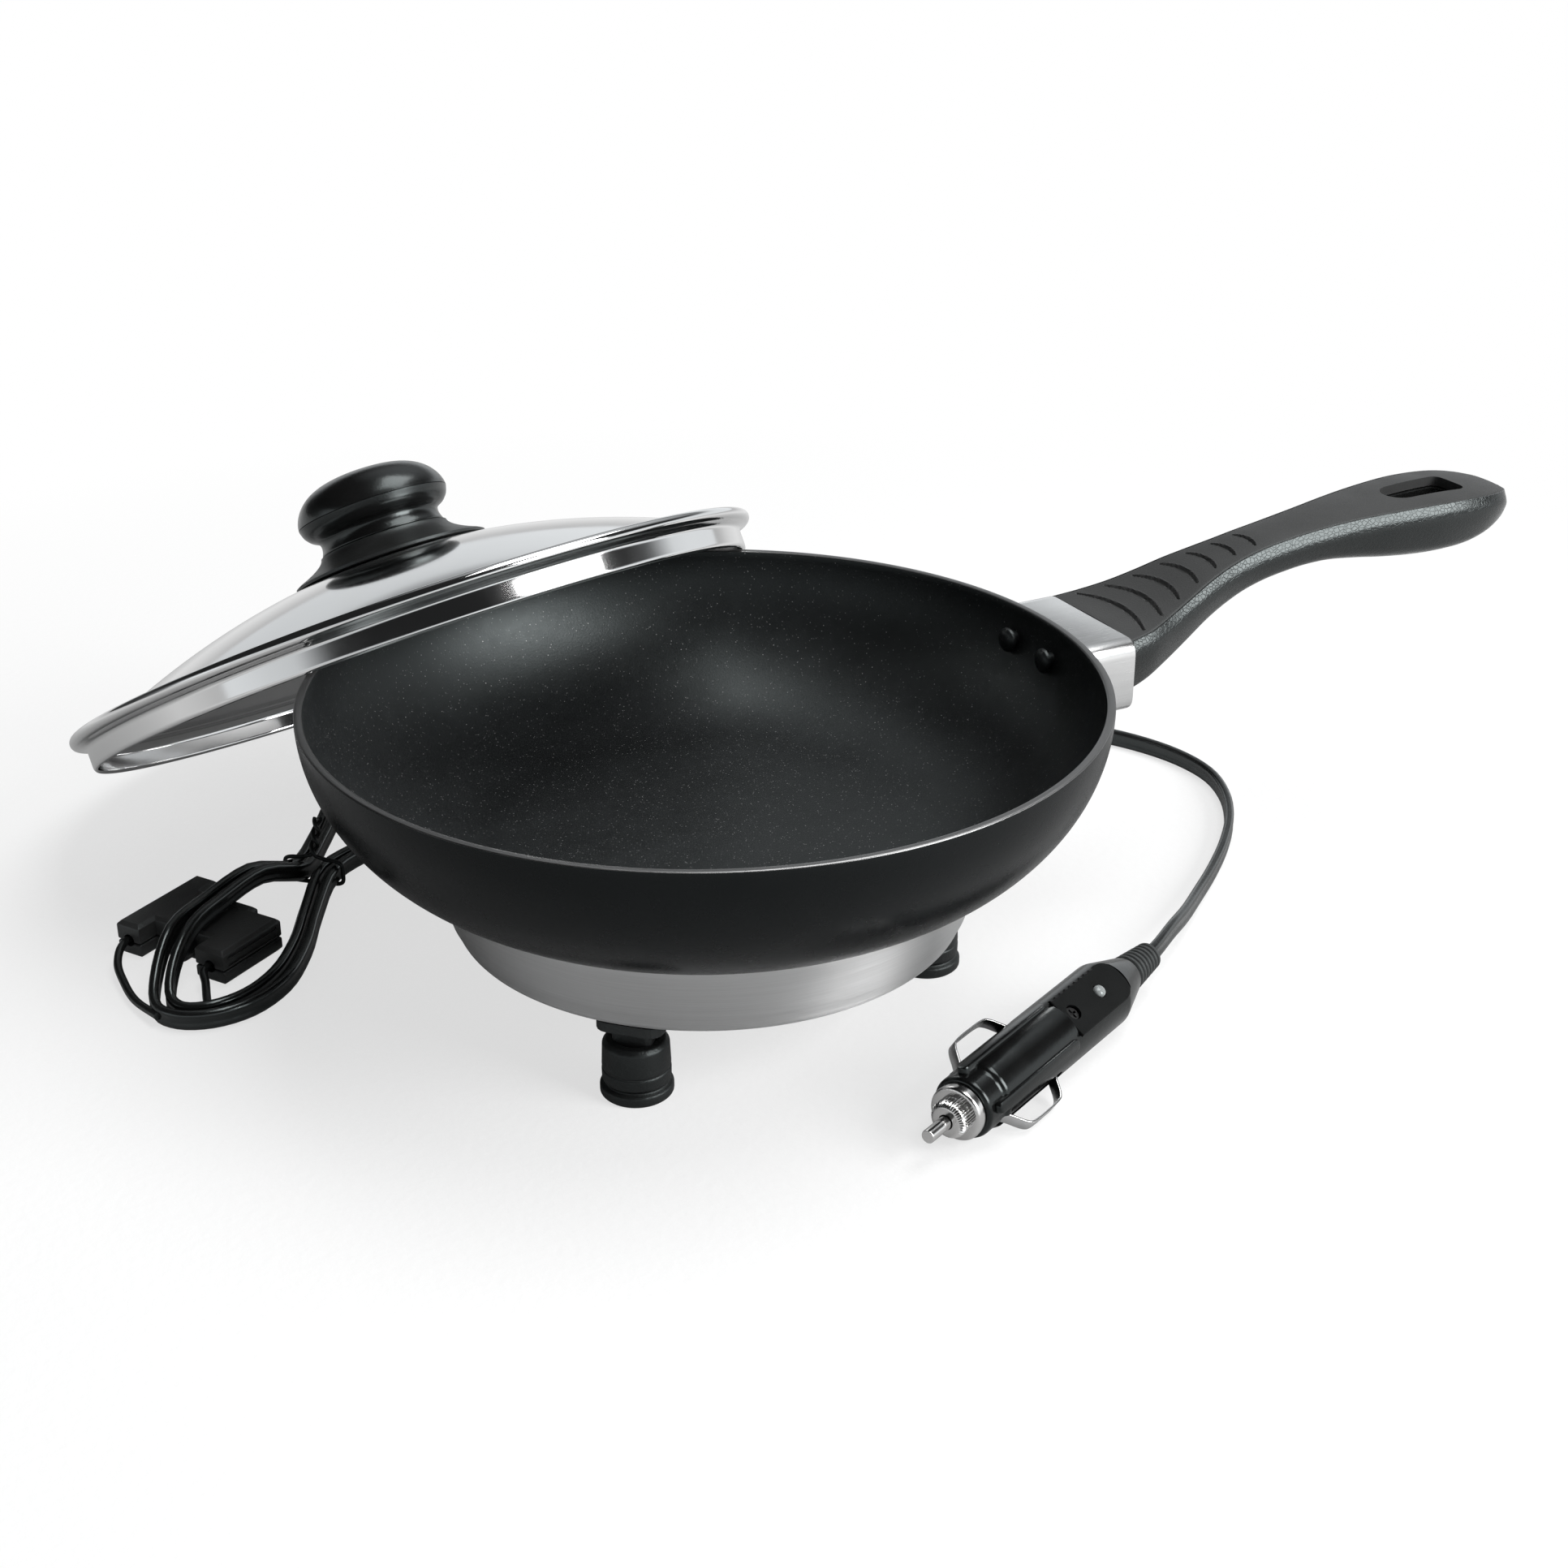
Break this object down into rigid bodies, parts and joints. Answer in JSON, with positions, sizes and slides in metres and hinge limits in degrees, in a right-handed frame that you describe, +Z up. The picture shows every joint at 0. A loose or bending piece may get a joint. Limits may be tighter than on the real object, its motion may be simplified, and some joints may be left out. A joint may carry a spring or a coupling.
{
  "type": "electric skillet",
  "caption": "Low-voltage electric skillet: deep non-stick pan on a heated base, moulded handle, loose domed lid leaning on the rim, and a tied flat lead with a fuse box and a vehicle plug.",
  "frame": {"origin": "on the table, under the middle of the box round the pan, handle and leaning lid, without the lead", "axes": "+Z up, +X along the handle away from the pan, +Y away from the pan towards the leaning lid"},
  "size_m": [0.4712, 0.3841, 0.1309],
  "materials": {
    "non_stick": "satin non-stick coating",
    "brushed_steel": "satin",
    "polished_steel": "polished",
    "zinc_steel": "zinc plated",
    "nickel": "nickel plated",
    "grip_black": "fine grain",
    "insert_grey": "satin",
    "knob_black": "polished",
    "fuse_grey": "satin",
    "cord_grey": "satin",
    "rubber_black": "matte",
    "mica": "matte",
    "felt_white": "matte",
    "ceramic_white": "glazed",
    "lamp_lens": "clear"
  },
  "bodies": {
    "skillet": {"pan_shell": "non_stick", "handle_rivet_1": "non_stick", "handle_rivet_2": "non_stick", "heater_housing": "brushed_steel", "base_cover": "zinc_steel", "foot_bracket_1": "grip_black", "foot_bracket_2": "grip_black", "foot_bracket_3": "grip_black", "foot_cup_1": "rubber_black", "foot_cup_2": "rubber_black", "foot_cup_3": "rubber_black", "foot_screw_1": "zinc_steel", "foot_screw_2": "zinc_steel", "foot_screw_3": "zinc_steel", "mica_sheet_upper": "mica", "mica_sheet_lower": "mica", "heating_element": "zinc_steel", "insulation_pad": "felt_white", "clamp_plate": "zinc_steel", "clamp_screw": "zinc_steel", "thermal_cutout": "zinc_steel", "terminal_block": "ceramic_white", "cord_gland": "rubber_black", "handle_body": "grip_black", "handle_screw": "zinc_steel", "handle_top_insert": "insert_grey", "handle_collar": "brushed_steel", "handle_bracket": "zinc_steel", "cord_lead": "cord_grey", "cord_hank": "cord_grey", "cord_to_plug": "cord_grey", "hank_tie": "rubber_black", "fuse_box_upper": "fuse_grey", "fuse_box_lower": "fuse_grey", "fuse_cap": "fuse_grey", "fuse_link": "nickel", "fuse_wire_in": "cord_grey", "fuse_wire_out": "cord_grey", "plug_nose_cap": "nickel", "plug_body": "knob_black", "plug_panel": "grip_black", "plug_lamp": "lamp_lens", "plug_screw": "zinc_steel", "plug_relief": "rubber_black"},
    "lid": {"lid_shell": "polished_steel", "knob_base": "grip_black", "lid_knob": "knob_black", "knob_washer": "zinc_steel", "knob_screw": "zinc_steel"},
    "pin": {"plug_pin": "nickel"},
    "contact_left": {"plug_contact_1": "nickel"},
    "contact_right": {"plug_contact_2": "nickel"}
  },
  "joints": [
    {"name": "lid_lift", "type": "slide", "parent": "skillet", "child": "lid", "axis": [0, 0, 1], "range_m": [0, 0.14]},
    {"name": "pin_press", "type": "slide", "parent": "skillet", "child": "pin", "axis": [0.9056, 0.4242, 0], "range_m": [0, 0.003], "stiffness_N_per_m": 800, "springref_m": -0.001},
    {"name": "contact_left_press", "type": "slide", "parent": "skillet", "child": "contact_left", "axis": [0.3597, -0.768, -0.5299], "range_m": [0, 0.0024], "stiffness_N_per_m": 1500, "springref_m": -0.0005},
    {"name": "contact_right_press", "type": "slide", "parent": "skillet", "child": "contact_right", "axis": [-0.3597, 0.768, 0.5299], "range_m": [0, 0.0024], "stiffness_N_per_m": 1500, "springref_m": -0.0005}
  ]
}
